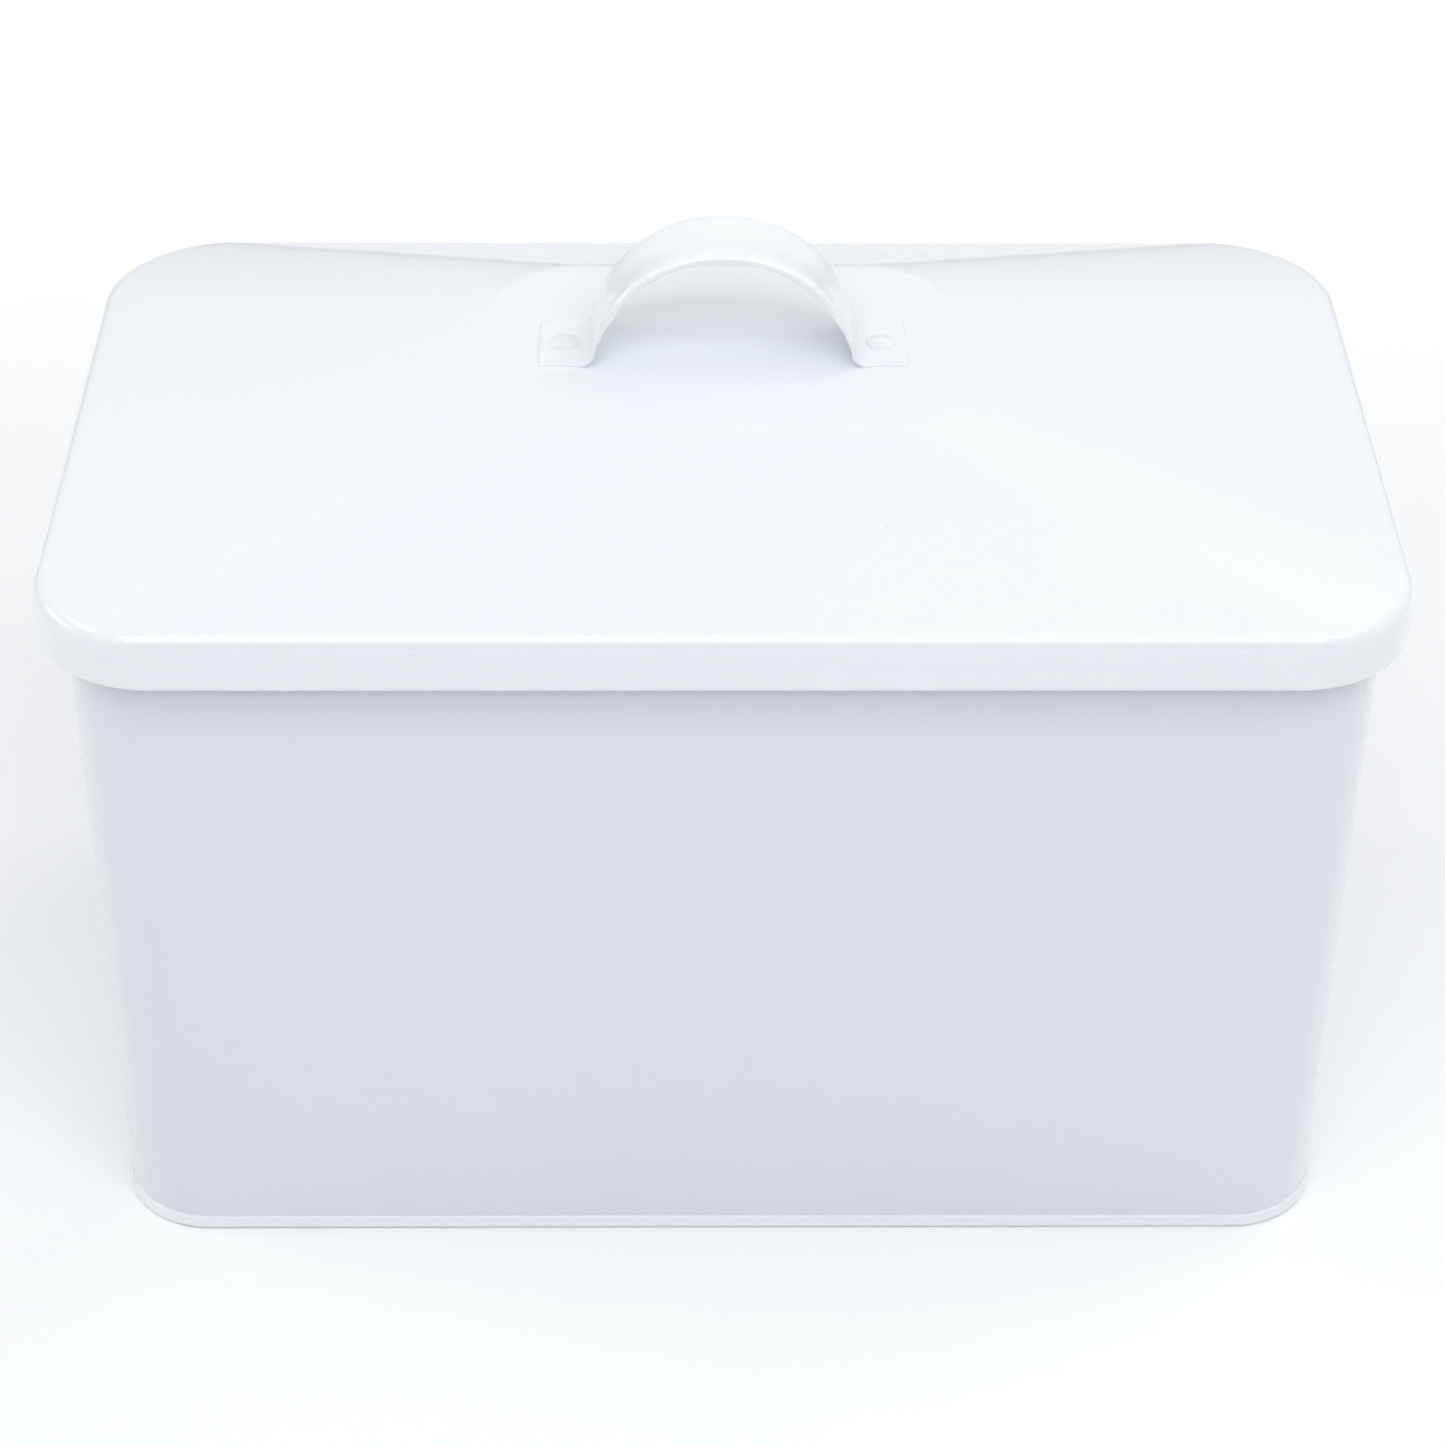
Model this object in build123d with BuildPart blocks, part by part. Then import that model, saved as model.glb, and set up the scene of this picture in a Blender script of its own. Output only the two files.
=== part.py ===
"""Steel bread bin with a lift-off lid, in millimetres, +Z up.

The origin is on the ground under the middle of the bin. X runs along its width and Y from front to back.
The bin is a wrapped wall seamed to a floor. The lid is one pressing with a riveted strap handle.
"""

from build123d import *
import os
from math import asin, degrees, sqrt

# ---- driving dimensions ----

sheet = 0.4  # thickness of the steel sheet

bin_width = 316.5  # outside of the wall
bin_depth = 176.5
bin_corner = 22.5  # outside radius of the wall's upright corners
rim_height = 194.6  # top of the rolled rim
rim_roll = 5.0  # outside diameter of the rolled rim
roll_turn = 300.0  # how far round the rim's edge is rolled, in degrees
back_seam_width = 6.0  # lock seam up the back, which joins the wall's two ends
back_seam_rise = 3 * sheet  # the seam has three more layers of sheet than the wall
back_seam_gap = rim_roll / 2  # left free between the lock seam and the bottom seam or the rim's roll
back_seam_root = sheet / 4  # how far the lock seam reaches into the wall

seam_top = 3.2  # height of the folded seam between the wall and the floor
seam_slack = 0.02  # gap between the folded layers
seam_flat = 0.1  # how much the underside of the seam is pressed flat
floor_height = 4.0  # mid-sheet height of the floor's border
floor_bend = 1.2  # bend between the floor and its upright edge, at mid-sheet
floor_border = 8.0  # flat border of the floor
floor_ramp = 3.0  # width of the sloped step inside the border
floor_step = 1.5  # height of that step

lid_width = 330.0  # outside of the skirt
lid_depth = 190.0
lid_corner = 30.3
skirt_bottom = 180.8
slope_foot = 194.6  # height where the slopes would meet the skirt if the edge were sharp
plateau_height = 218.0  # the flat top of the lid
plateau_width = 118.0
plateau_depth = 80.6
plateau_corner = 25.0
edge_radius = 4.75  # between the skirt and the slopes
crease_radius = 12.0  # between the slopes and the flat top
hem_height = 4.0  # the skirt's edge is folded up inside by this much
hem_round = 0.9 * sheet  # outside radius of that fold
inner_foot_drop = 0.75  # the inside slopes start lower by this share of the sheet

strap_width = 21.5
strap_sheet = 0.8
strap_edge = 2.0  # depth of the arch with its long edges turned down, the sheet included
strap_edge_from = 18.0  # the turned-down edges start this many degrees up the arch
strap_shoulder = 0.7  # rounding of the arch's outside edges
arch_radius = 33.0  # outside radius of the arch
arch_centre = 216.2  # height of its centre
foot_reach = 45.5  # from the middle of the handle to the end of a foot
foot_bend = 3.4  # bend between the arch and a foot, at mid-sheet

rivet_reach = 39.5  # from the middle of the handle to a rivet
rivet_shank = 3.5
rivet_clearance = 0.05  # between the shank and its hole
rivet_head = 7.0
rivet_dome = 1.4
rivet_tail = 6.0
rivet_tail_height = 1.1

# ---- derived dimensions ----

edge_tolerance = sheet / 8  # an edge this near to a height is taken to lie at it
panel_lap = sheet / 2  # how far the middle of the floor reaches into the step round it
layer = sheet + seam_slack  # from the middle of one folded layer to the next
wall_middle = -sheet / 2  # mid-sheet of the wall, measured outwards from its outer face
hook_middle = wall_middle + 2 * layer  # the wall's bottom edge, turned up outside
seam_turn = 2 * layer + sheet / 2 - seam_flat  # height of the centre of the seam's lower folds
seam_over = seam_top - layer - sheet / 2  # height of the centre of its upper fold
hole_radius = rivet_shank / 2 + rivet_clearance
hole_depth = 2 * (sheet + strap_sheet)  # more than the lid or the foot is thick

# A section of the bin is drawn on this plane: x is outwards from the wall's outer face, y is up.
section_plane = Plane(
    origin=(-bin_width / 2 + bin_corner, -bin_depth / 2, 0),
    x_dir=(0, -1, 0),
    z_dir=(-1, 0, 0),
)


def round_the_bin():
    """The wall's outer face at ground level, as a closed line that starts at section_plane."""
    side_x = bin_width / 2
    side_y = bin_depth / 2
    run_x = side_x - bin_corner
    run_y = side_y - bin_corner
    with BuildLine(Plane.XY) as outline:
        Line((-run_x, -side_y), (run_x, -side_y))
        CenterArc((run_x, -run_y), bin_corner, -90, 90)
        Line((side_x, -run_y), (side_x, run_y))
        CenterArc((run_x, run_y), bin_corner, 0, 90)
        Line((run_x, side_y), (-run_x, side_y))
        CenterArc((-run_x, run_y), bin_corner, 90, 90)
        Line((-side_x, run_y), (-side_x, -run_y))
        CenterArc((-run_x, -run_y), bin_corner, 180, 90)
    return outline.wire()


def lid_form(inset):
    """A solid block of the lid's outside shape, or of its inside shape when the inset is one sheet."""
    foot = slope_foot - inner_foot_drop * inset
    top = plateau_height - inset
    with BuildPart() as form:
        with BuildSketch(Plane.XY.offset(skirt_bottom)) as skirt:
            RectangleRounded(lid_width - 2 * inset, lid_depth - 2 * inset, lid_corner - inset)
        extrude(amount=foot - skirt_bottom)
        add(skirt.sketch.moved(Location((0, 0, foot - skirt_bottom))))
        with BuildSketch(Plane.XY.offset(top)):
            RectangleRounded(plateau_width, plateau_depth, plateau_corner)
        loft(ruled=True)
        for height, radius in ((top, crease_radius), (foot, edge_radius)):
            ring = form.edges().filter_by_position(
                Axis.Z, height - edge_tolerance, height + edge_tolerance
            )
            fillet(ring, radius - inset)
    return form.part


# ---- bin: the wall, one wrapped sheet with a rolled rim and a hooked bottom edge ----

with BuildPart() as body_wall:
    roll_middle = (rim_roll - sheet) / 2
    roll_height = rim_height - rim_roll / 2
    with BuildSketch(section_plane):
        with BuildLine():
            Line((hook_middle, seam_over - seam_slack), (hook_middle, seam_turn))
            CenterArc((wall_middle + layer, seam_turn), layer, 0, -180)
            Line((wall_middle, seam_turn), (wall_middle, roll_height))
            CenterArc((wall_middle + roll_middle, roll_height), roll_middle, 180, -roll_turn)
        trace(line_width=sheet)
    sweep(path=round_the_bin())
    # The lock seam stands proud of the back, from the bottom seam to the rim.
    seam_low = seam_top + back_seam_gap
    seam_high = rim_height - rim_roll - back_seam_gap
    with BuildSketch(Plane.XY.offset(seam_low)):
        with Locations((0, bin_depth / 2 - back_seam_root)):
            Rectangle(
                back_seam_width,
                back_seam_rise + back_seam_root,
                align=(Align.CENTER, Align.MIN),
            )
    extrude(amount=seam_high - seam_low)
    proud = body_wall.edges().filter_by(Axis.Z).group_by(Axis.Y)[-1]
    fillet(proud, sheet)

# ---- bin: the floor, with its edge folded round the wall's hook ----

with BuildPart() as body_floor:
    upright = wall_middle - layer  # mid-sheet of the floor's upright edge, inside the wall
    border_end = upright - floor_bend - floor_border
    with BuildSketch(section_plane):
        with BuildLine():
            Line((wall_middle + layer, seam_turn + seam_slack), (wall_middle + layer, seam_over))
            CenterArc((hook_middle, seam_over), layer, 180, -180)
            Line((wall_middle + 3 * layer, seam_over), (wall_middle + 3 * layer, seam_turn))
            CenterArc((wall_middle + layer, seam_turn), 2 * layer, 0, -180)
            Line((upright, seam_turn), (upright, floor_height - floor_bend))
            CenterArc((upright - floor_bend, floor_height - floor_bend), floor_bend, 0, 90)
            Line((upright - floor_bend, floor_height), (border_end, floor_height))
            Line((border_end, floor_height), (border_end - floor_ramp, floor_height + floor_step))
        trace(line_width=sheet)
    sweep(path=round_the_bin())
    # The middle of the floor fills the ring that the section leaves.
    panel_inset = -(border_end - floor_ramp)
    with BuildSketch(Plane.XY.offset(floor_height + floor_step - sheet / 2)):
        RectangleRounded(
            bin_width - 2 * (panel_inset - panel_lap),
            bin_depth - 2 * (panel_inset - panel_lap),
            bin_corner - (panel_inset - panel_lap),
        )
    extrude(amount=sheet)
    # The seam's underside is pressed flat, so that the bin stands on a face.
    with BuildSketch():
        Rectangle(lid_width, lid_depth)
    extrude(amount=-sheet, mode=Mode.SUBTRACT)

# ---- lid: the pressing, hollow below, with a hem inside its skirt ----

with BuildPart() as lid_shell:
    add(lid_form(0))
    add(lid_form(sheet), mode=Mode.SUBTRACT)
    with BuildSketch(Plane.XY.offset(skirt_bottom)):
        RectangleRounded(lid_width, lid_depth, lid_corner)
        RectangleRounded(
            lid_width - 4 * sheet, lid_depth - 4 * sheet, lid_corner - 2 * sheet, mode=Mode.SUBTRACT
        )
    extrude(amount=hem_height)
    hem_fold = lid_shell.edges().group_by(Axis.Z)[0]
    fillet(hem_fold, hem_round)
    with Locations(
        (-rivet_reach, 0, plateau_height),
        (rivet_reach, 0, plateau_height),
    ):
        Hole(hole_radius, depth=hole_depth)

# ---- lid: the strap handle ----

with BuildPart() as handle_strap:
    arch_middle = arch_radius - strap_sheet / 2
    foot_middle = plateau_height + strap_sheet / 2
    bend_height = foot_middle + foot_bend
    bend_rise = bend_height - arch_centre
    bend_x = sqrt((arch_middle + foot_bend) ** 2 - bend_rise**2)
    lean = degrees(asin(bend_rise / (arch_middle + foot_bend)))  # where the arch meets its bends
    with BuildSketch(Plane.XZ):
        with BuildLine():
            Line((-foot_reach, foot_middle), (-bend_x, foot_middle))
            CenterArc((-bend_x, bend_height), foot_bend, -90, 90 - lean)
            CenterArc((0, arch_centre), arch_middle, 180 - lean, 2 * lean - 180)
            CenterArc((bend_x, bend_height), foot_bend, 180 + lean, 90 - lean)
            Line((bend_x, foot_middle), (foot_reach, foot_middle))
        trace(line_width=strap_sheet)
    extrude(amount=strap_width / 2, both=True)
    for side in (-1, 1):
        edge_plane = Plane.XZ.offset(side * (strap_width - strap_sheet) / 2)
        with BuildSketch(edge_plane):
            with BuildLine():
                CenterArc(
                    (0, arch_centre),
                    arch_radius - strap_edge / 2,
                    strap_edge_from,
                    180 - 2 * strap_edge_from,
                )
            trace(line_width=strap_edge)
        extrude(amount=strap_sheet / 2, both=True)
    shoulders = (
        handle_strap.edges()
        .filter_by(GeomType.CIRCLE)
        .filter_by(lambda edge: abs(edge.radius - arch_radius) < edge_tolerance)
    )
    fillet(shoulders, strap_shoulder)
    with Locations((-rivet_reach, 0, foot_middle), (rivet_reach, 0, foot_middle)):
        Hole(hole_radius, depth=hole_depth)

# ---- lid: the rivets, each with a domed head on its foot and a flat tail under the lid ----


def rivet(x):
    """A rivet through one foot of the handle."""
    foot_top = plateau_height + strap_sheet
    lid_under = plateau_height - sheet
    dome_radius = (rivet_head**2 / 4 + rivet_dome**2) / (2 * rivet_dome)
    with BuildPart() as one:
        with BuildSketch(Plane.XZ):
            with BuildLine():
                Polyline(
                    (0, foot_top + rivet_dome),
                    (0, lid_under - rivet_tail_height),
                    (rivet_tail / 2, lid_under - rivet_tail_height),
                    (rivet_tail / 2, lid_under),
                    (rivet_shank / 2, lid_under),
                    (rivet_shank / 2, foot_top),
                    (rivet_head / 2, foot_top),
                )
                RadiusArc((rivet_head / 2, foot_top), (0, foot_top + rivet_dome), -dome_radius)
            make_face()
        revolve(axis=Axis.Z)
        tail_edge = one.edges().group_by(Axis.Z)[0]
        fillet(tail_edge, rivet_tail_height / 3)
    return one.part.moved(Location((x, 0, 0)))


with BuildPart() as rivet_left:
    add(rivet(-rivet_reach))

with BuildPart() as rivet_right:
    add(rivet(rivet_reach))

# ---- one file for each piece ----

os.makedirs("parts", exist_ok=True)
pieces = {
    "body_wall": body_wall,
    "body_floor": body_floor,
    "lid_shell": lid_shell,
    "handle_strap": handle_strap,
    "rivet_left": rivet_left,
    "rivet_right": rivet_right,
}
for name, piece in pieces.items():
    piece.part.label = name
    export_step(piece.part, f"parts/{name}.step")
    print(name, round(piece.part.volume), "mm3")
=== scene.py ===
"""Looks of the bread bin: smooth coated-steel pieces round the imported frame, a pale floor, soft light.

Sizes named here are in millimetres, in the row frame: +Z up, X along the bin, Y from front to back.
"""

import math

import bmesh
import bpy
import numpy as np
from mathutils import Matrix, Vector


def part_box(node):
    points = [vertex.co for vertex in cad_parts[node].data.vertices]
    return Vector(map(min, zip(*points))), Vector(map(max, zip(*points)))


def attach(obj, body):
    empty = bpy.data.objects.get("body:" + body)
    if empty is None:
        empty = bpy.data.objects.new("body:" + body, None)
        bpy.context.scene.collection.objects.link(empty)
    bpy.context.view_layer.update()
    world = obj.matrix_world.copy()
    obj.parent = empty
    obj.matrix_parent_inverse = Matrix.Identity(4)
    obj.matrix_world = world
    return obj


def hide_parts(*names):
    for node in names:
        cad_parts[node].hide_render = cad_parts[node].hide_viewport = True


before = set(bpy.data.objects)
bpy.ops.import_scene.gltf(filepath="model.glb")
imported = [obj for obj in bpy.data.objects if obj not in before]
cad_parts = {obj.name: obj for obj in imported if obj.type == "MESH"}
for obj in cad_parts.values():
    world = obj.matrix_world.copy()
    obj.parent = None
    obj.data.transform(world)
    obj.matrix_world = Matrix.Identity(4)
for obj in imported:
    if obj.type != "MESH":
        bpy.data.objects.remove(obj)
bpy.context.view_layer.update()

MM = 0.001  # metres in a millimetre

# ---- the studio: places in metres, powers in watts ----

LIT_POINT = (0, 0, 0.15)  # what the softboxes look at
EVEN_LIGHT = 0.054
SURROUNDINGS = [  # walls of light: direction, strength
    ((0, 1, 0.15), 0.64),
    ((-1, 0, 0.3), 0.58),
    ((1, 0, 0.3), 0.6),
    ((0, -0.3, 1), 0.2),
]
WALL_START = 0.3  # a wall of light begins where the cosine of the angle to its middle is this
WHITE = (1.0, 1.0, 1.0)
COOL = (0.97, 0.985, 1.0)
COLD = (0.94, 0.965, 1.0)
# Name, degrees right of the front, degrees up, distance, size, power, colour, mirrored in gloss or not.
SOFTBOXES = [
    ("right_front", 65, 44, 1.3, (0.35, 0.12), 0.85, WHITE, True),
    ("right_side", 97, 46, 1.3, (0.5, 0.12), 0.6, WHITE, True),
    ("right_behind", 123, 44, 1.3, (0.6, 0.7), 2.0, WHITE, False),
    ("left_high", -95, 46, 1.3, (0.6, 0.12), 1.15, WHITE, True),
    ("left_low", -95, 21, 1.3, (0.5, 0.2), 1.15, WHITE, True),
    ("overhead", 0, 80, 1.5, (1.8, 1.2), 1.3, COOL, True),
    ("front_fill", 0, 52, 1.25, (1.5, 0.8), 8.4, COLD, True),
    ("edge_strip", 0, 68, 1.3, (1.7, 0.03), 0.55, WHITE, True),
]

GROUND_PLACE = (0, 0.58, 0.8)  # the light over the ground behind the bin
GROUND_SIZE = (2.4, 0.22)
GROUND_POWER = 0.62
GROUND_SPREAD = 42  # degrees
GROUND_REACH = 6.0  # from the middle of the pale ground to its edges
GROUND_DROP = 0.0002  # keeps the ground just clear of the foot of the bin

CAMERA_PLACE = (-0.0081, -0.7636, 0.6712)
CAMERA_ANGLES = (36.76, 0.645, 0.37)  # degrees down, to the right and anticlockwise
SENSOR_WIDTH, LENS = 36.0, 88.3  # millimetres

# ---- the coatings: their lightest tints, and sizes in millimetres ----

# painted shade: the wall's tint is darker than the lid's white to dim the wall, though the real wall is
# likely the same white paint as the lid
WALL_TINT_PAINTED_SHADE = (0.75, 0.775, 0.83)
WHITE_TINT = (0.85, 0.875, 0.905)
# painted light: the handle's tint is lighter than the lid's white to brighten the sides of the arch, which
# get little light
HANDLE_TINT_PAINTED_LIGHT = (0.875, 0.9, 0.93)
RIVET_TINT = (0.86, 0.875, 0.9)
CLOUD_SIZE, MOTTLE_SIZE = 60, 3.5
CLOUD_SHARE, MOTTLE_SHARE = 0.5, 0.22
SPECK_SPACING = 14
SPECK_RADIUS = 0.016  # as a share of the spacing
SPECK_CHOICE = 0.55  # share of the places for a speck that stay empty
SPECK_STRENGTH = 0.3
SPECK_COLOUR = (0.32, 0.31, 0.3, 1)
ROUGHNESS_LOW, ROUGHNESS_HIGH = 0.17, 0.24
PEEL_SIZE, WAVE_SIZE = 1.2, 7.0
WAVE_SHARE = 6.0  # of the broad waves, against the fine peel's 1
PEEL_HEIGHT = 0.0012

# ---- sizes taken from the frame ----


def node_box(node):
    """A CAD node's lowest and highest corners, in millimetres."""
    low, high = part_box(node)
    return np.array(low) / MM, np.array(high) / MM


lid_low, lid_high = node_box("lid_shell")
wall_low, wall_high = node_box("body_wall")
floor_foot = node_box("body_floor")[0][2]
strap_high = node_box("handle_strap")[1]
rivet_low, rivet_high = node_box("rivet_right")

# ---- sizes that the pressings share with the frame ----

SHEET = 0.4
RIM_ROLL = 5.0  # outside diameter of the rolled rim
BIN_HALF = np.array([wall_high[0], -wall_low[1]]) - (RIM_ROLL - SHEET)  # the wall's outer face
BIN_CORNER = 22.5
RIM_TOP = wall_high[2]
RIM_SWEEP = 300  # degrees of the rim's roll
WALL_BOW = 0.35  # how far the long panels bow outwards at most
WALL_MIDDLE = -SHEET / 2  # the wall's mid-line, outwards from its outer face

LAYER = SHEET + 0.02  # pitch of the folded layers of the bottom seam
SEAM_FLAT = 0.1  # the underside of the seam is pressed flat by this much
SEAM_TOP = 3.2
SEAM_TURN = 2 * LAYER + SHEET / 2 - SEAM_FLAT  # height of the centre that the seam's lower folds turn about
SEAM_OVER = SEAM_TOP - LAYER - SHEET / 2  # height of the centre of a full upper fold
SEAM_LEAN = 0.3  # radius of the upper fold, as a share of the layers' pitch: the seam narrows upwards
SEAM_LIFT = (1 - SEAM_LEAN) * LAYER  # raises the small fold to the height of a full one
SEAM_BEAD = 0.42  # fillet of coating between the seam and the wall
SEAM_BEAD_SUNK = 0.03
HOOK_SHORT = 0.8  # the wall's hook ends this far below the fold that hides it

FLOOR_MIDDLE = 4.0  # mid-sheet height of the floor's border
FLOOR_BEND = 1.2
FLOOR_BORDER = 8.0
FLOOR_STEP = 1.5
FLOOR_RAMP = 3.0  # width of the slope up to the raised panel
FLOOR_RUN_IN = 2.0  # the panel's edge, before the one face that closes it

LOCK_HALF = 3.0  # the folded seam up the back
LOCK_RISE = 3 * SHEET
LOCK_EASE = 3.0  # length over which its ends fade into the wall
LOCK_CLEAR = 0.3  # how far its ends stay from the foot seam and the rim
LOCK_FADED = 0.15  # share of its rise that is left at its ends
LOCK_EVEN = 8.0  # from its ends to the first of its evenly spaced rows
LOCK_SHOULDER, LOCK_FOLD, LOCK_FAR_SHOULDER = 0.7, 0.35, 0.6  # radii of its outline
LOCK_FOLD_IN = 1.7  # the fold's centre lies this far in from the seam's edge
LOCK_GROOVE = (0.15, 0.1)  # width and depth beside the fold

LID_HALF = lid_high[:2]
LID_CORNER = 30.3
SKIRT_BOTTOM = lid_low[2]
SLOPE_FOOT = 194.6  # where slopes and skirt would meet if the edge were sharp
PLATEAU = lid_high[2]
PLATEAU_HALF = np.array([59.0, 40.3])
PLATEAU_CORNER = 25.0
EDGE_RADIUS = 4.75
CREASE_RADIUS = 12.0
HEM = 4.0
BEAD_DEPTH = 0.15  # how far the coating's fillets reach into the steel
SLOPE_DROP = 0.75  # share of an inset by which the slopes' foot drops, so that the sheet stays even
SPINE_HALF = 18.0  # the flat top is skinned in towards a line of this half length
SPINE_SHARE = 0.94  # the last row stops this far along, and one face closes the rest

STRAP_HALF = strap_high[1]
STRAP_SHEET = 0.8
STRAP_DEPTH = 2.0  # over the turned-down edges
STRAP_SHOULDER = 1.1  # mid-sheet radius of the turn
STRAP_HOLLOW = 0.45
STRAP_LIP_LEAST = 0.05
SHAPED_FROM = 9.0  # degrees up the arch where the flat strap begins to be shaped
SHAPED_OVER = 22.0  # degrees over which its shape comes in
FOOT_BEAD = 0.65  # fillet of coating round a foot
FOOT_CORNER = 0.9
FOOT_BEAD_SUNK = 0.05
SEAT = 1.62  # brings the lowest point of a seated edge just past the sheet's underside
ARCH_RADIUS = 33.0
ARCH_CENTRE = strap_high[2] - ARCH_RADIUS
FOOT_REACH = strap_high[0]
FOOT_BEND = 3.4
RIVET_X = (rivet_low[0] + rivet_high[0]) / 2
RIVET_HEAD = (rivet_high[0] - rivet_low[0]) / 2
RIVET_EDGE = 0.4  # height of the rim of the dome
RIVET_FLARE = 0.4  # the coating fills the corner round the head
RIVET_SHANK = 1.75
RIVET_TAIL = 3.0
TAIL_SHOULDER, TAIL_FOOT, TAIL_LIP = 0.35, 0.55, 0.45  # radii of the tail's outline
TAIL_HOLLOW = 1.2

# ---- shape tools ----


def unit(v):
    """The vectors along the last axis, at length one."""
    return v / np.linalg.norm(v, axis=-1, keepdims=True)


def smooth_step(t):
    """Zero to one with level ends."""
    t = np.clip(t, 0.0, 1.0)
    return t * t * (3 - 2 * t)


def rounded_outline(half, corner, corner_steps=28, run_steps=(56, 32)):
    """Points round a rounded rectangle, anticlockwise, and the outward direction at each.

    The points of two outlines match one to one, so sheets can be drawn between them.
    """
    points, outward = [], []
    run = np.asarray(half) - corner
    for quarter in range(4):
        start = math.radians(-90 + 90 * quarter)
        middle = run * [(1, -1), (1, 1), (-1, 1), (-1, -1)][quarter]
        for k in range(corner_steps + 1):
            angle = start + math.radians(90) * k / corner_steps
            direction = np.array([math.cos(angle), math.sin(angle)])
            points.append(middle + corner * direction)
            outward.append(direction)
        following = run * [(1, 1), (-1, 1), (-1, -1), (1, -1)][quarter]
        steps = run_steps[1 - quarter % 2]
        last = points[-1]
        for k in range(1, steps):
            points.append(last + (following - middle) * k / steps)
            outward.append(outward[-1])
    return np.array(points), np.array(outward)


def arc(centre, radius, start, turn, steps):
    """Points on an arc, angles in degrees."""
    angles = np.radians(start + turn * np.linspace(0, 1, steps + 1))
    return np.array(centre) + radius * np.stack([np.cos(angles), np.sin(angles)], axis=1)


def line(start, end, steps=1):
    """Points on a straight run."""
    t = np.linspace(0, 1, steps + 1)[:, None]
    return np.array(start) * (1 - t) + np.array(end) * t


def joined(*runs):
    """One run of points from several, leaving out the first point of every run after the first."""
    return np.concatenate([runs[0]] + [run[1:] for run in runs[1:]])


def sheet_loop(middle, thickness, cap_steps=4, seated=0.0):
    """The closed outline of a sheet whose mid-line is given, with round edges.

    Where it is seated, at 1, the edge is only rounded on top, and comes down square to what it lies on.
    """
    along = unit(np.gradient(middle, axis=0))
    across = np.stack([-along[:, 1], along[:, 0]], axis=1)
    half = thickness / 2
    caps = []
    ends = ((middle[-1], along[-1], across[-1], 1), (middle[0], -along[0], across[0], -1))
    for point, forward, side, order in ends:
        angles = np.linspace(0, np.pi, cap_steps + 1)[1:-1, None]
        angles = angles[::order]
        under = seated * (angles > np.pi / 2 + 0.01)
        sideways = np.cos(angles) * (1 - under) + (1 - 2 * angles / np.pi) * SEAT * under
        ahead = np.sin(angles) * (1 - under) + 1.0 * under
        caps.append(point + half * (sideways * side + ahead * forward))
    return np.concatenate([middle + half * across, caps[0], (middle - half * across)[::-1], caps[1]])


def carried_round(section, half, corner, **steps):
    """Rows of points: a section, as (outwards, up), carried round a rounded rectangle."""
    base, outward = rounded_outline(half, corner, **steps)
    rows = np.empty((len(section), len(base), 3))
    rows[:, :, :2] = base + section[:, None, :1] * outward
    rows[:, :, 2] = section[:, 1:]
    return rows


def turned(profile, steps=56):
    """Rows of points: a profile, as (radius, height), turned about the Z axis."""
    angles = np.linspace(0, 2 * np.pi, steps, endpoint=False)
    radius, height = profile[:, :1], profile[:, 1:]
    return np.stack([radius * np.cos(angles), radius * np.sin(angles), height + 0 * angles], axis=2)


def skin(rows, closed_rows=False, closed_columns=True, cap_first=False, cap_last=False):
    """Points and faces of a grid of rows."""
    rows = np.asarray(rows)
    count, width = rows.shape[:2]
    faces = []
    for r in range(count if closed_rows else count - 1):
        for c in range(width if closed_columns else width - 1):
            a, b = r * width + c, r * width + (c + 1) % width
            below = (r + 1) % count * width
            faces.append((a, b, below + (c + 1) % width, below + c))
    if cap_first:
        faces.append(tuple(range(width))[::-1])
    if cap_last:
        faces.append(tuple((count - 1) * width + c for c in range(width)))
    return rows.reshape(-1, 3), faces


def piece(name, skins, body, replaced, material, sharp=40.0):
    """A smooth-shaded mesh object from one or more skins, which rides on a body and replaces a CAD node."""
    points, faces, first = [], [], 0
    for skin_points, skin_faces in skins:
        points.append(skin_points)
        faces += [tuple(first + i for i in face) for face in skin_faces]
        first += len(skin_points)
    mesh = bpy.data.meshes.new(name)
    mesh.from_pydata((np.concatenate(points) * MM).tolist(), [], faces)
    mesh.validate()
    outwards_normals(mesh)
    mesh.shade_smooth()
    mesh.set_sharp_from_angle(angle=math.radians(sharp))
    made = bpy.data.objects.new(name, mesh)
    bpy.context.scene.collection.objects.link(made)
    made.data.materials.append(material)
    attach(made, body)
    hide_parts(replaced)
    return made


def outwards_normals(mesh):
    """Turns the faces so that they all look out of the solid."""
    work = bmesh.new()
    work.from_mesh(mesh)
    bmesh.ops.recalc_face_normals(work, faces=work.faces)
    work.to_mesh(mesh)
    work.free()


# ---- the bin: wall ----


def wall_section():
    """Mid-line of the wall from its bottom hook to the end of its rolled rim, as (outwards, up)."""
    hook = WALL_MIDDLE + 2 * LAYER
    roll = (RIM_ROLL - SHEET) / 2
    roll_height = RIM_TOP - RIM_ROLL / 2
    return joined(
        line((hook, SEAM_OVER - HOOK_SHORT), (hook, SEAM_TURN), 2),
        arc((WALL_MIDDLE + LAYER, SEAM_TURN), LAYER, 0, -180, 10),
        line((WALL_MIDDLE, SEAM_TURN), (WALL_MIDDLE, roll_height), 60),
        arc((WALL_MIDDLE + roll, roll_height), roll, 180, -RIM_SWEEP, 36),
    )


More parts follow.
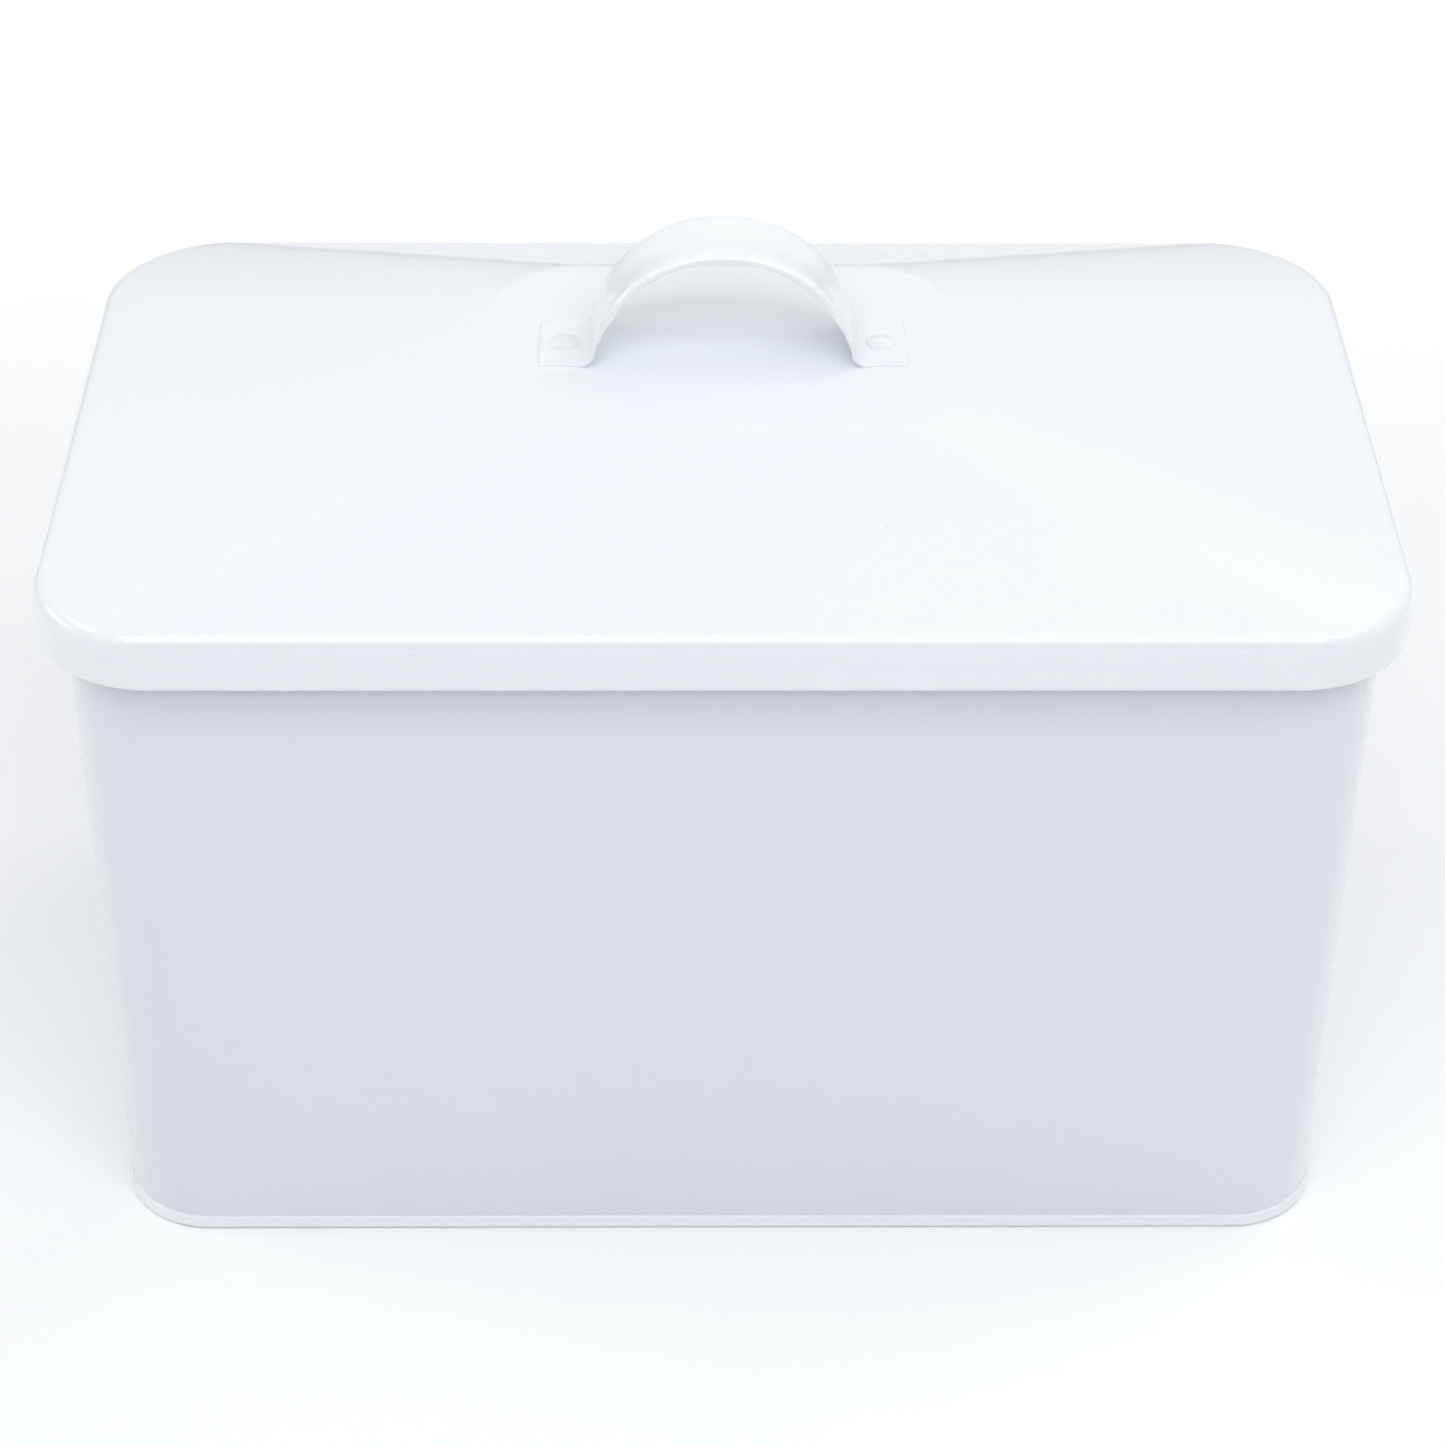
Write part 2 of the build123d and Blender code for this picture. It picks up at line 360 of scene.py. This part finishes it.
def panel_bow(rows, deepest):
    """Bows the flat panels of the wall outwards by a little, as thin sheet does between its corners."""
    straight_foot, straight_top = 8, 12  # heights next to the seam and the rim that don't bow
    height = np.clip((rows[..., 2] - straight_foot) / (RIM_TOP - straight_foot - straight_top), 0, 1)
    up = np.sin(np.pi * height) ** 2
    run = BIN_HALF - BIN_CORNER
    along_x = np.clip(1 - (rows[..., 0] / run[0]) ** 2, 0, 1)
    along_y = np.clip(1 - (rows[..., 1] / run[1]) ** 2, 0, 1)
    on_front = np.abs(rows[..., 1]) > run[1] + BIN_CORNER / 2
    on_side = np.abs(rows[..., 0]) > run[0] + BIN_CORNER / 2
    bow = deepest * up
    rows[..., 1] += np.sign(rows[..., 1]) * bow * np.where(on_front, along_x**2, 0)
    rows[..., 0] += np.sign(rows[..., 0]) * bow / 2 * np.where(on_side, along_y**2, 0)
    return rows


def lock_section():
    """Outline of the folded seam, as (across, outwards): soft shoulders, and the groove beside the fold."""
    shoulder = (LOCK_SHOULDER - LOCK_HALF, LOCK_RISE - LOCK_SHOULDER)
    fold = (LOCK_HALF - LOCK_FOLD_IN, LOCK_RISE - LOCK_FOLD)
    fold_edge = fold[0] + LOCK_FOLD
    groove = (fold_edge + LOCK_GROOVE[0], fold[1] - LOCK_GROOVE[1])
    far_shoulder = (LOCK_HALF - LOCK_FAR_SHOULDER, fold[1] - LOCK_FAR_SHOULDER)
    return joined(
        arc(shoulder, LOCK_SHOULDER, 180, -90, 6),
        line((shoulder[0], LOCK_RISE), (fold[0], LOCK_RISE), 4),
        arc(fold, LOCK_FOLD, 90, -90, 4),
        line((fold_edge, fold[1]), groove, 1),
        arc(far_shoulder, LOCK_FAR_SHOULDER, 90, -90, 6),
    )


def lock_seam():
    """The folded seam up the middle of the back, which fades into the wall at its ends."""
    across = lock_section()
    low, high = SEAM_TOP + LOCK_CLEAR, RIM_TOP - RIM_ROLL - LOCK_CLEAR
    ease = np.linspace(0, LOCK_EASE, 7)
    even = np.linspace(low + LOCK_EVEN, high - LOCK_EVEN, 12)
    heights = np.concatenate([low + ease, even, high - ease[::-1]])
    wall = BIN_HALF[1] - SHEET / 2
    rows = []
    for z in heights:
        risen = LOCK_FADED + (1 - LOCK_FADED) * smooth_step(min(z - low, high - z) / LOCK_EASE)
        y = wall + (across[:, 1] + SHEET / 2) * risen
        top = np.stack([across[:, 0], y, np.full(len(across), z)], axis=1)
        foot = [[LOCK_HALF, wall, z], [-LOCK_HALF, wall, z]]
        rows.append(np.concatenate([top, foot]))
    return skin(rows, cap_first=True, cap_last=True)


def make_wall(material):
    """The wall with its rolled rim, its hook in the foot seam and the folded seam up its back."""
    rows = carried_round(sheet_loop(wall_section(), SHEET), BIN_HALF, BIN_CORNER)
    rows = panel_bow(rows, WALL_BOW)
    skins = [skin(rows, closed_rows=True), lock_seam()]
    return piece("bin_wall", skins, "bin", "body_wall", material)


# ---- the bin: floor and the seam folded from its edge ----


def coating_bead(half, corner, height, size):
    """The hollow fillet of coating in the corner between a rounded rectangle and what lies round it."""
    hollow = arc((size, size), size, 180, 90, 8)
    buried = [(size, -BEAD_DEPTH), (-BEAD_DEPTH, -BEAD_DEPTH), (-BEAD_DEPTH, size)]
    section = np.concatenate([hollow, buried]) + [0, height]
    return skin(carried_round(section, half, corner), closed_rows=True)


def floor_section():
    """Mid-line of the floor from the tip of its hook to the raised panel, as (outwards, up)."""
    inner_leg = WALL_MIDDLE + LAYER
    fold_radius = SEAM_LEAN * LAYER
    upright = WALL_MIDDLE - LAYER
    border_start = upright - FLOOR_BEND
    border_end = border_start - FLOOR_BORDER
    ramp_end = border_end - FLOOR_RAMP
    panel = FLOOR_MIDDLE + FLOOR_STEP
    return joined(
        line((inner_leg, SEAM_TURN), (inner_leg, SEAM_OVER), 3),
        arc((inner_leg + fold_radius, SEAM_OVER + SEAM_LIFT), fold_radius, 180, -180, 12),
        line((inner_leg + 2 * fold_radius, SEAM_OVER), (WALL_MIDDLE + 3 * LAYER, SEAM_TURN), 6),
        arc((inner_leg, SEAM_TURN), 2 * LAYER, 0, -180, 16),
        line((upright, SEAM_TURN), (upright, FLOOR_MIDDLE - FLOOR_BEND), 2),
        arc((border_start, FLOOR_MIDDLE - FLOOR_BEND), FLOOR_BEND, 0, 90, 8),
        line((border_start, FLOOR_MIDDLE), (border_end, FLOOR_MIDDLE), 4),
        line((border_end, FLOOR_MIDDLE), (ramp_end, panel), 4),
        line((ramp_end, panel), (ramp_end - FLOOR_RUN_IN, panel), 2),
    )


def make_floor(material):
    """The bottom sheet with its folded edge, and the coating's fillet along the top of that seam."""
    section = floor_section()
    along = unit(np.gradient(section, axis=0))
    across = np.stack([-along[:, 1], along[:, 0]], axis=1)
    half = SHEET / 2
    angles = np.linspace(np.pi, 0, 5)[1:-1, None]
    tip = section[0] + half * (np.cos(angles) * across[0] - np.sin(angles) * along[0])
    loop = np.concatenate([(section + half * across)[::-1], tip[::-1], section - half * across])
    rows = carried_round(loop, BIN_HALF, BIN_CORNER)
    rows[..., 2] = np.maximum(rows[..., 2], floor_foot)
    bead = coating_bead(BIN_HALF, BIN_CORNER, SEAM_TOP - SEAM_BEAD_SUNK, SEAM_BEAD)
    skins = [skin(rows, cap_first=True, cap_last=True), bead]
    return piece("bin_floor", skins, "bin", "body_floor", material)


# ---- the lid pressing ----


def rounded_corner(corner, back, ahead, radius, steps):
    """Rows of points that round each corner with an arc, between the directions back and ahead from it."""
    half = np.arccos(np.clip((back * ahead).sum(axis=1, keepdims=True), -1, 1)) / 2
    centre = corner + unit(back + ahead) * radius / np.sin(half)
    start = corner + back * radius / np.tan(half) - centre
    end = corner + ahead * radius / np.tan(half) - centre
    turn = np.pi - 2 * half
    rows = []
    for t in np.linspace(0, 1, steps + 1):
        rows.append(centre + (np.sin((1 - t) * turn) * start + np.sin(t * turn) * end) / np.sin(turn))
    return rows


def lid_surface(inset):
    """Rows of points up one face of the lid, from the hem to the middle; the outside face has inset 0."""
    foot_height = SLOPE_FOOT - SLOPE_DROP * inset
    rim, outward = rounded_outline(LID_HALF - inset, LID_CORNER - inset)
    top, _ = rounded_outline(PLATEAU_HALF, PLATEAU_CORNER)
    count = len(rim)
    rim = np.column_stack([rim, np.full(count, foot_height)])
    top = np.column_stack([top, np.full(count, PLATEAU - inset)])
    outward = np.column_stack([outward, np.zeros(count)])
    reach = ((rim - top) * outward).sum(axis=1, keepdims=True)
    climb = unit(-outward + np.array([0, 0, 1.0]) * (top[:, 2:] - rim[:, 2:]) / reach)
    down = np.tile([0.0, 0.0, -1.0], (count, 1))
    edge = rounded_corner(rim, down, climb, EDGE_RADIUS - inset, 14)
    crease = rounded_corner(top, -climb, -outward, CREASE_RADIUS - inset, 8)
    hem_top = edge[0].copy()
    hem_top[:, 2] = SKIRT_BOTTOM + HEM
    rows = [hem_top * (1 - t) + edge[0] * t for t in np.linspace(0, 1, 4)[:-1]]
    rows += edge
    rows += [edge[-1] * (1 - t) + crease[0] * t for t in np.linspace(0, 1, 26)[1:-1]]
    rows += crease
    spine = np.column_stack([np.clip(top[:, 0], -SPINE_HALF, SPINE_HALF), np.zeros(count), top[:, 2]])
    rows += [crease[-1] * (1 - t) + spine * t for t in np.linspace(0, SPINE_SHARE, 8)[1:]]
    return rows


def lid_hem():
    """Rows down the inside of the hem, round its fold and up the outside of the skirt."""
    fold = SHEET
    profile = joined(
        arc((-1.5 * SHEET, SKIRT_BOTTOM + HEM - SHEET / 2), SHEET / 2, 0, 180, 5),
        line((-2 * SHEET, SKIRT_BOTTOM + HEM - SHEET / 2), (-2 * SHEET, SKIRT_BOTTOM + fold), 3),
        arc((-fold, SKIRT_BOTTOM + fold), fold, 180, 180, 10),
        line((0, SKIRT_BOTTOM + fold), (0, SKIRT_BOTTOM + HEM), 3),
    )
    return list(carried_round(profile, LID_HALF, LID_CORNER))[:-1]


def make_lid(material):
    """The lid's pressing: both faces of the sheet, joined by the hem."""
    outside, inside = lid_surface(0.0), lid_surface(SHEET)
    rows = inside[::-1] + lid_hem() + outside
    skins = [skin(rows, cap_first=True, cap_last=True)]
    return piece("lid_pressing", skins, "lid", "lid_shell", material)


# ---- the strap handle ----


def strap_path():
    """Mid-sheet path of the strap in the XZ plane, the way its top faces, and degrees up the arch."""
    middle = ARCH_RADIUS - STRAP_SHEET / 2
    foot = PLATEAU + STRAP_SHEET / 2
    bend_height = foot + FOOT_BEND
    rise = bend_height - ARCH_CENTRE
    bend_x = math.sqrt((middle + FOOT_BEND) ** 2 - rise**2)
    lean = math.degrees(math.asin(rise / (middle + FOOT_BEND)))
    path = joined(
        line((-FOOT_REACH + STRAP_SHEET / 2, foot), (-bend_x, foot), 8),
        arc((-bend_x, bend_height), FOOT_BEND, -90, 90 - lean, 10),
        arc((0, ARCH_CENTRE), middle, 180 - lean, 2 * lean - 180, 120),
        arc((bend_x, bend_height), FOOT_BEND, 180 + lean, 90 - lean, 10),
        line((bend_x, foot), (FOOT_REACH - STRAP_SHEET / 2, foot), 8),
    )
    along = unit(np.gradient(path, axis=0))
    outwards = np.stack([-along[:, 1], along[:, 0]], axis=1)
    angle = np.degrees(np.arcsin(np.clip((path[:, 1] - ARCH_CENTRE) / middle, -1, 1)))
    return path, outwards, angle


def strap_section(turned_down):
    """Closed section of the strap, as (across, outwards): flat at 0, edges down and top hollowed at 1."""
    half = STRAP_HALF - STRAP_SHEET / 2
    level = half - STRAP_SHOULDER
    lip = max(STRAP_DEPTH - STRAP_SHEET - STRAP_SHOULDER, STRAP_LIP_LEAST)
    side = joined(
        line((0, 0), (level, 0), 12),
        arc((level, -STRAP_SHOULDER), STRAP_SHOULDER, 90, -90, 8),
        line((half, -STRAP_SHOULDER), (half, -STRAP_SHOULDER - lip), 2),
    )
    length = np.concatenate([[0], np.cumsum(np.linalg.norm(np.diff(side, axis=0), axis=1))])
    flat = np.column_stack([half * length / length[-1], 0 * length])
    hollow = STRAP_HOLLOW * np.cos(np.clip(side[:, 0] / level, 0, 1) * np.pi / 2) ** 2
    shaped = side - np.column_stack([0 * hollow, hollow])
    side = flat * (1 - turned_down) + shaped * turned_down
    middle = np.concatenate([side[:0:-1] * [-1, 1], side])
    return sheet_loop(middle, STRAP_SHEET, 6, 1 - turned_down)


def make_handle(material):
    """The strap handle, and the fillets of coating round its feet."""
    path, outwards, angle = strap_path()
    rows = []
    for place, out, up in zip(path, outwards, angle):
        section = strap_section(smooth_step((up - SHAPED_FROM) / SHAPED_OVER))
        across, rise = section[:, 0], section[:, 1]
        rows.append(np.column_stack([place[0] + out[0] * rise, across, place[1] + out[1] * rise]))
    rows = end_rounded(rows[::-1], -1)[::-1]
    rows = end_rounded(rows, 1)
    skins = [skin(rows, cap_first=True, cap_last=True), foot_bead(-1), foot_bead(1)]
    return piece("strap_handle", skins, "lid", "handle_strap", material, sharp=50.0)


def foot_bead(side):
    """The coating's fillet round a foot of the strap."""
    inner = ARCH_RADIUS + FOOT_BEND
    half = np.array([(FOOT_REACH - inner) / 2, STRAP_HALF]) - FOOT_BEAD_SUNK
    points, faces = coating_bead(half, FOOT_CORNER, PLATEAU, FOOT_BEAD)
    return points + [side * (FOOT_REACH + inner) / 2, 0, 0], faces


def end_rounded(rows, direction):
    """Adds rows that round off the end of a foot."""
    last = rows[-1]
    middle = last.mean(axis=0)
    half = STRAP_SHEET / 2
    for angle in np.radians([25, 50, 70, 85]):
        row = last.copy()
        row[:, 0] += direction * half * math.sin(angle)
        height = last[:, 2] - middle[2]
        row[:, 2] = middle[2] + np.where(height > 0, height * math.cos(angle), height)
        inwards = half * (1 - math.cos(angle))
        row[:, 1] -= np.sign(row[:, 1]) * inwards * (np.abs(last[:, 1]) > STRAP_HALF - STRAP_SHEET)
        rows = rows + [row]
    return rows


# ---- the rivets ----


def rivet_profile():
    """Half outline of a rivet, as (radius, height): dome, coated foot, shank, and tail with its hollow."""
    foot = PLATEAU + STRAP_SHEET
    under = PLATEAU - SHEET
    top = rivet_high[2]
    low = rivet_low[2]
    crown = top - foot - RIVET_EDGE
    bulge = (RIVET_HEAD**2 + crown**2) / (2 * crown)
    spread = math.degrees(math.asin(RIVET_HEAD / bulge))
    skirt = RIVET_HEAD + RIVET_FLARE
    near_axis, start = 0.05, 0.5  # millimetres and degrees from the axis to where the dome begins
    return joined(
        line((0.02, top), (near_axis, top)),
        arc((0, top - bulge), bulge, 90 - start, start - spread, 16),
        arc((skirt, foot + RIVET_EDGE), RIVET_FLARE, 180, 90, 6),
        line((skirt, foot + RIVET_EDGE - RIVET_FLARE), (RIVET_SHANK, foot - 0.01)),
        line((RIVET_SHANK, foot), (RIVET_SHANK, under)),
        line((RIVET_SHANK, under), (RIVET_TAIL - TAIL_SHOULDER, under), 2),
        arc((RIVET_TAIL - TAIL_SHOULDER, under - TAIL_SHOULDER), TAIL_SHOULDER, 90, -90, 5),
        arc((RIVET_TAIL - TAIL_FOOT, low + TAIL_FOOT), TAIL_FOOT, 0, -90, 6),
        arc((RIVET_TAIL - 2 * TAIL_FOOT, low + TAIL_LIP), TAIL_LIP, -90, -70, 5),
        line((TAIL_HOLLOW, low + 0.5), (near_axis, low + 0.62), 3),
    )


def make_rivet(name, node, x, material):
    """One rivet through a foot of the strap and the lid."""
    points, faces = skin(turned(rivet_profile()), cap_first=True, cap_last=True)
    points = points + np.array([x, 0, 0])
    return piece(name, [(points, faces)], "lid", node, material, sharp=45.0)


# ---- materials ----


class Nodes:
    """Adds nodes to a material. An input that is given a socket is linked to it, any other is set."""

    def __init__(self, material):
        material.use_nodes = True
        self.tree = material.node_tree
        self.tree.nodes.clear()

    def add(self, kind, settings=None, **inputs):
        node = self.tree.nodes.new("ShaderNode" + kind)
        for name, value in (settings or {}).items():
            setattr(node, name, value)
        for name, value in inputs.items():
            socket = node.inputs[name.replace("_", " ")]
            if isinstance(value, bpy.types.NodeSocket):
                self.tree.links.new(value, socket)
            else:
                socket.default_value = value
        return node

    def maths(self, operation, *values):
        node = self.tree.nodes.new("ShaderNodeMath")
        node.operation = operation
        for socket, value in zip(node.inputs, values):
            if isinstance(value, bpy.types.NodeSocket):
                self.tree.links.new(value, socket)
            else:
                socket.default_value = value
        return node.outputs[0]

    def noise(self, place, size_mm, detail=2.0, roughness=0.5):
        scale = 1 / (size_mm * MM)
        node = self.add("TexNoise", Vector=place, Scale=scale, Detail=detail, Roughness=roughness)
        return node.outputs["Fac"]


def coating(name, tint, shade, peel=1.0, seed=0.0):
    """Gloss coating on steel: a faintly clouded white with specks of dust, orange peel and a clear gloss."""
    material = bpy.data.materials.new(name)
    n = Nodes(material)
    coords = n.add("TexCoord").outputs["Object"]
    place = n.add("Mapping", Vector=coords, Location=(seed, 2 * seed, 3 * seed)).outputs["Vector"]

    cloud = n.noise(place, CLOUD_SIZE, 3.0)
    mottle = n.noise(place, MOTTLE_SIZE, 4.0, 0.6)
    clouded = n.add("MapRange", Value=cloud, From_Min=0.35, From_Max=0.65, To_Min=-1.0, To_Max=1.0).outputs[0]
    mottled = n.add("MapRange", Value=mottle, From_Min=0.3, From_Max=0.7, To_Min=-1.0, To_Max=1.0).outputs[0]
    clouds = n.maths("MULTIPLY", clouded, CLOUD_SHARE)
    mottles = n.maths("MULTIPLY", mottled, MOTTLE_SHARE)
    vary = n.maths("ADD", clouds, mottles)
    ramp = n.add("ValToRGB", Fac=n.maths("MULTIPLY_ADD", vary, 0.5, 0.5))
    ramp.color_ramp.elements[0].color = (*[c * shade for c in tint], 1)
    ramp.color_ramp.elements[1].color = (*tint, 1)

    # Dust that fell into the wet coating: a few specks, each smaller than half a millimetre.
    cells = n.add("TexVoronoi", Vector=place, Scale=1 / (SPECK_SPACING * MM))
    near = n.maths("LESS_THAN", cells.outputs["Distance"], SPECK_RADIUS)
    by_chance = n.add("SeparateColor", Color=cells.outputs["Color"]).outputs[0]
    chosen = n.maths("GREATER_THAN", by_chance, SPECK_CHOICE)
    speck = n.maths("MULTIPLY", n.maths("MULTIPLY", near, chosen), SPECK_STRENGTH)
    colour = n.add("Mix", {"data_type": "RGBA"})
    n.tree.links.new(speck, colour.inputs[0])
    n.tree.links.new(ramp.outputs["Color"], colour.inputs[6])
    colour.inputs[7].default_value = SPECK_COLOUR

    rough_ends = {"To_Min": ROUGHNESS_LOW, "To_Max": ROUGHNESS_HIGH}
    gloss = n.add("MapRange", Value=mottle, From_Min=0.25, From_Max=0.75, **rough_ends).outputs[0]
    fine = n.noise(place, PEEL_SIZE, 2.0)
    broad = n.noise(place, WAVE_SIZE, 1.0)
    height = n.maths("MULTIPLY_ADD", broad, WAVE_SHARE, fine)
    bump = n.add("Bump", Height=height, Strength=1.0, Distance=PEEL_HEIGHT * MM * peel)
    shader = n.add(
        "BsdfPrincipled",
        Base_Color=colour.outputs[2],
        Roughness=gloss,
        Normal=bump.outputs["Normal"],
        IOR=1.5,
        Coat_Weight=0.7,
        Coat_Roughness=0.04,
        Coat_IOR=1.5,
    )
    n.tree.links.new(bump.outputs["Normal"], shader.inputs["Coat Normal"])
    n.add("OutputMaterial", Surface=shader.outputs["BSDF"])
    return material


def floor_material():
    """Pale matt paper."""
    material = bpy.data.materials.new("pale_floor")
    n = Nodes(material)
    grain = n.noise(n.add("TexCoord").outputs["Object"], 30, 3.0)
    ramp = n.add("ValToRGB", Fac=grain)
    ramp.color_ramp.elements[0].color = (0.965, 0.967, 0.97, 1)
    ramp.color_ramp.elements[1].color = (0.975, 0.977, 0.98, 1)
    shader = n.add("BsdfPrincipled", Base_Color=ramp.outputs["Color"], Roughness=0.9)
    n.add("OutputMaterial", Surface=shader.outputs["BSDF"])
    return material


# ---- floor, light and camera ----


def make_floor_plane():
    """A wide pale floor under the bin."""
    reach = GROUND_REACH
    mesh = bpy.data.meshes.new("floor")
    corners = [(-reach, -reach, 0), (reach, -reach, 0), (reach, reach, 0), (-reach, reach, 0)]
    mesh.from_pydata(corners, [], [(0, 1, 2, 3)])
    made = bpy.data.objects.new("floor", mesh)
    made.location.z = -GROUND_DROP
    bpy.context.scene.collection.objects.link(made)
    made.data.materials.append(floor_material())


def area_light(name, place, towards, size, power, colour, mirrored):
    """A rectangular light at a place, facing against a direction; unless mirrored, gloss doesn't show it."""
    light = bpy.data.lights.new(name, "AREA")
    light.shape = "RECTANGLE"
    light.size, light.size_y = size
    light.energy = power
    light.color = colour
    made = bpy.data.objects.new(name, light)
    made.location = place
    made.rotation_euler = (-towards).to_track_quat("-Z", "Y").to_euler()
    made.visible_camera = False
    made.visible_glossy = mirrored
    bpy.context.scene.collection.objects.link(made)
    return light


def soft_light(name, azimuth, elevation, distance, size, power, colour, mirrored):
    """A soft light that looks at the bin from a direction."""
    turn, rise = math.radians(azimuth), math.radians(elevation)
    towards = Vector((math.sin(turn) * math.cos(rise), -math.cos(turn) * math.cos(rise), math.sin(rise)))
    area_light(name, Vector(LIT_POINT) + towards * distance, towards, size, power, colour, mirrored)


def make_ground_light():
    """A light over the ground behind the bin, with a spread so narrow that it misses the bin."""
    above = Vector((0, 0, 1))
    light = area_light("ground", Vector(GROUND_PLACE), above, GROUND_SIZE, GROUND_POWER, WHITE, False)
    light.spread = math.radians(GROUND_SPREAD)


def make_world():
    """Soft surroundings: a weak even light, and broad pale walls of light behind, left, right and above."""
    world = bpy.data.worlds.new("studio")
    bpy.context.scene.world = world
    world.use_nodes = True
    tree = world.node_tree
    tree.nodes.clear()
    looking = tree.nodes.new("ShaderNodeTexCoord").outputs["Generated"]
    total = None
    for direction, strength in SURROUNDINGS:
        facing = tree.nodes.new("ShaderNodeVectorMath")
        facing.operation = "DOT_PRODUCT"
        tree.links.new(looking, facing.inputs[0])
        facing.inputs[1].default_value = Vector(direction).normalized()
        soften = tree.nodes.new("ShaderNodeMapRange")
        soften.interpolation_type = "SMOOTHSTEP"
        soften.inputs["From Min"].default_value = WALL_START
        soften.inputs["From Max"].default_value = 1.0
        soften.inputs["To Max"].default_value = strength
        tree.links.new(facing.outputs["Value"], soften.inputs["Value"])
        add = tree.nodes.new("ShaderNodeMath")
        add.operation = "ADD"
        add.inputs[0].default_value = EVEN_LIGHT
        if total is not None:
            tree.links.new(total, add.inputs[0])
        tree.links.new(soften.outputs["Result"], add.inputs[1])
        total = add.outputs[0]
    back = tree.nodes.new("ShaderNodeBackground")
    back.inputs["Color"].default_value = (*COOL, 1)
    out = tree.nodes.new("ShaderNodeOutputWorld")
    tree.links.new(total, back.inputs["Strength"])
    tree.links.new(back.outputs[0], out.inputs["Surface"])


def make_lights():
    """The surroundings, the light on the ground and the softboxes."""
    make_world()
    make_ground_light()
    for softbox in SOFTBOXES:
        soft_light(*softbox)


def make_camera():
    """A camera in front of and above the bin, where the product photograph was taken from."""
    pitch, yaw, roll = (math.radians(angle) for angle in CAMERA_ANGLES)
    forward = Vector((math.sin(yaw) * math.cos(pitch), math.cos(yaw) * math.cos(pitch), -math.sin(pitch)))
    level = Vector((math.cos(yaw), -math.sin(yaw), 0))
    above = level.cross(forward)
    right = math.cos(roll) * level + math.sin(roll) * above
    up = right.cross(forward)
    data = bpy.data.cameras.new("camera")
    data.sensor_width = SENSOR_WIDTH
    data.lens = LENS
    made = bpy.data.objects.new("camera", data)
    turned_there = Matrix((right, up, -forward)).transposed().to_4x4()
    made.matrix_world = Matrix.Translation(Vector(CAMERA_PLACE)) @ turned_there
    bpy.context.scene.collection.objects.link(made)
    bpy.context.scene.camera = made


# ---- all together ----

bpy.context.scene.view_settings.view_transform = "Standard"

make_wall(coating("bin_coating", WALL_TINT_PAINTED_SHADE, 0.985, seed=0.0))
make_floor(coating("floor_coating", WHITE_TINT, 0.98, peel=1.2, seed=0.3))
make_lid(coating("lid_coating", WHITE_TINT, 0.988, seed=0.7))
make_handle(coating("handle_coating", HANDLE_TINT_PAINTED_LIGHT, 0.985, peel=1.3, seed=1.1))
for side, name in ((-1, "left"), (1, "right")):
    rivet_coat = coating("rivet_coating_" + name, RIVET_TINT, 0.98, peel=1.6, seed=1.5 + side)
    make_rivet("handle_rivet_" + name, "rivet_" + name, side * RIVET_X, rivet_coat)

make_floor_plane()
make_lights()
make_camera()
